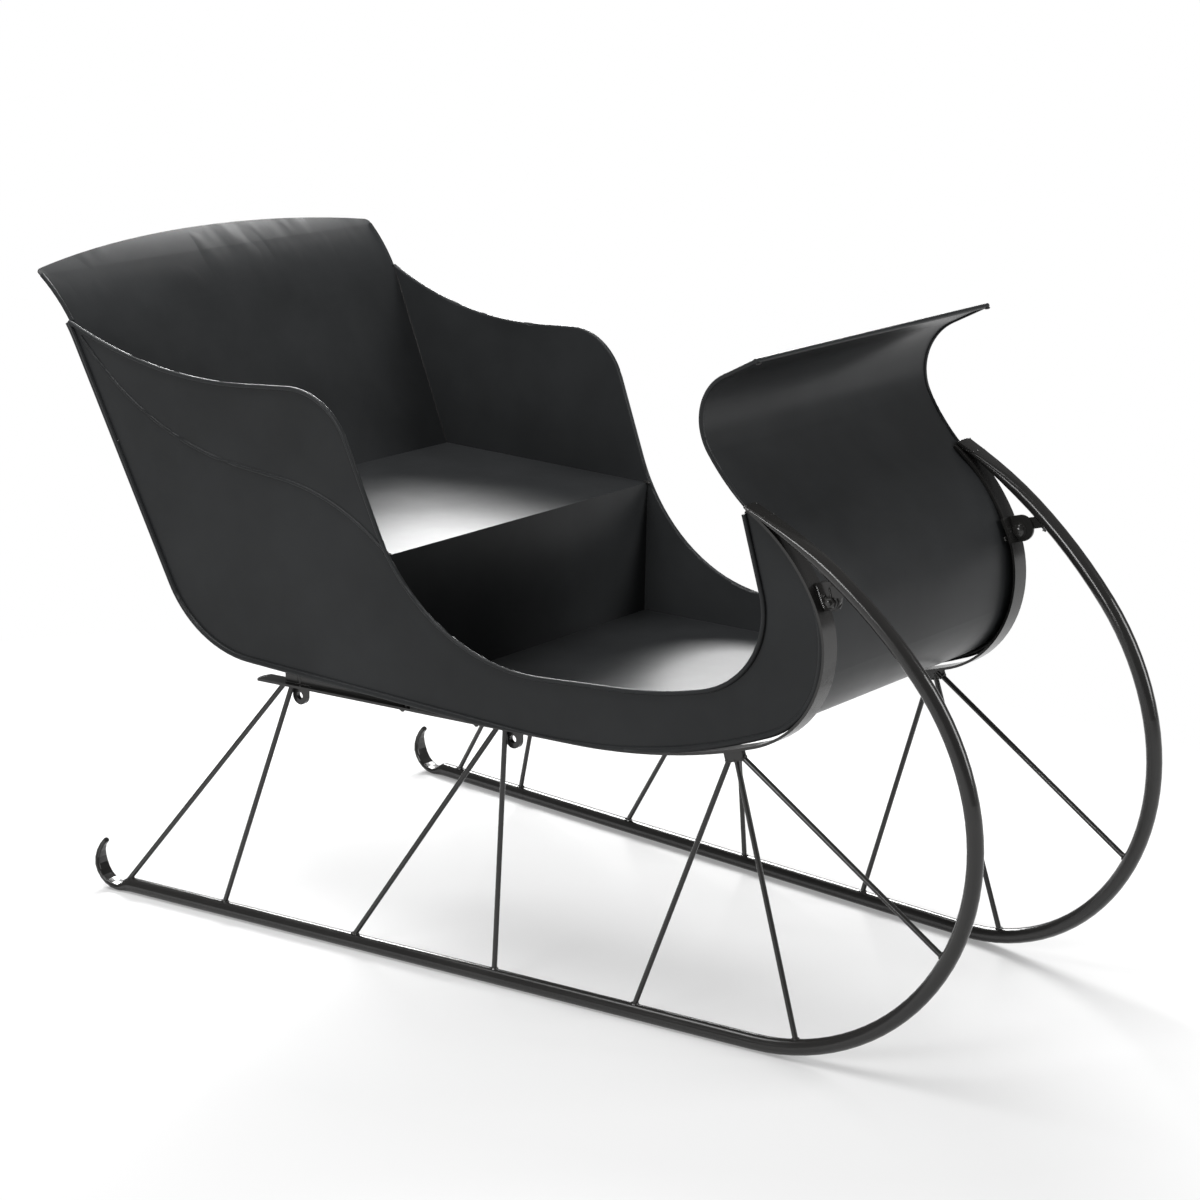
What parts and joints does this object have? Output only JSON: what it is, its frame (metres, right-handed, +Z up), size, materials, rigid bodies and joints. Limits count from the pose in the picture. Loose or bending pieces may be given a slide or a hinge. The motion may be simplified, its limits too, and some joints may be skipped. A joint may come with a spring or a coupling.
{
  "type": "display-size horse-drawn sleigh",
  "caption": "Small sleigh of painted sheet steel: a body with seat, footwell and curled dash on two bent tube runners with round braces.",
  "frame": {"origin": "on the floor, below the middle of the bounding box", "axes": "+X the way it travels, +Y its left-hand side, +Z up"},
  "size_m": [1.3789, 0.6542, 0.8255],
  "materials": {
    "body_paint": "satin black paint",
    "gear_paint": "satin black paint"
  },
  "bodies": {
    "root": {"back_panel": "body_paint", "belly_panel": "body_paint", "dash_panel": "body_paint", "seat_plate": "body_paint", "seat_riser": "body_paint", "floor_plate": "body_paint", "side_panel_left": "body_paint", "side_panel_right": "body_paint", "rail_left": "gear_paint", "rail_right": "gear_paint", "runner_left": "gear_paint", "runner_right": "gear_paint", "front_gusset_left": "gear_paint", "front_gusset_right": "gear_paint", "bracket_plate_left": "gear_paint", "bracket_plate_right": "gear_paint", "tube_lug_left": "gear_paint", "tube_lug_right": "gear_paint", "brace_rear_1_left": "gear_paint", "brace_rear_1_right": "gear_paint", "brace_rear_2_left": "gear_paint", "brace_rear_2_right": "gear_paint", "brace_mid_1_left": "gear_paint", "brace_mid_1_right": "gear_paint", "brace_mid_2_left": "gear_paint", "brace_mid_2_right": "gear_paint", "brace_front_1_left": "gear_paint", "brace_front_1_right": "gear_paint", "brace_front_2_left": "gear_paint", "brace_front_2_right": "gear_paint", "brace_front_3_left": "gear_paint", "brace_front_3_right": "gear_paint", "eye_lug_rear_left": "gear_paint", "eye_lug_rear_right": "gear_paint", "eye_lug_mid_left": "gear_paint", "eye_lug_mid_right": "gear_paint", "stud_1_left": "gear_paint", "stud_1_right": "gear_paint", "stud_2_left": "gear_paint", "stud_2_right": "gear_paint"}
  },
  "joints": []
}
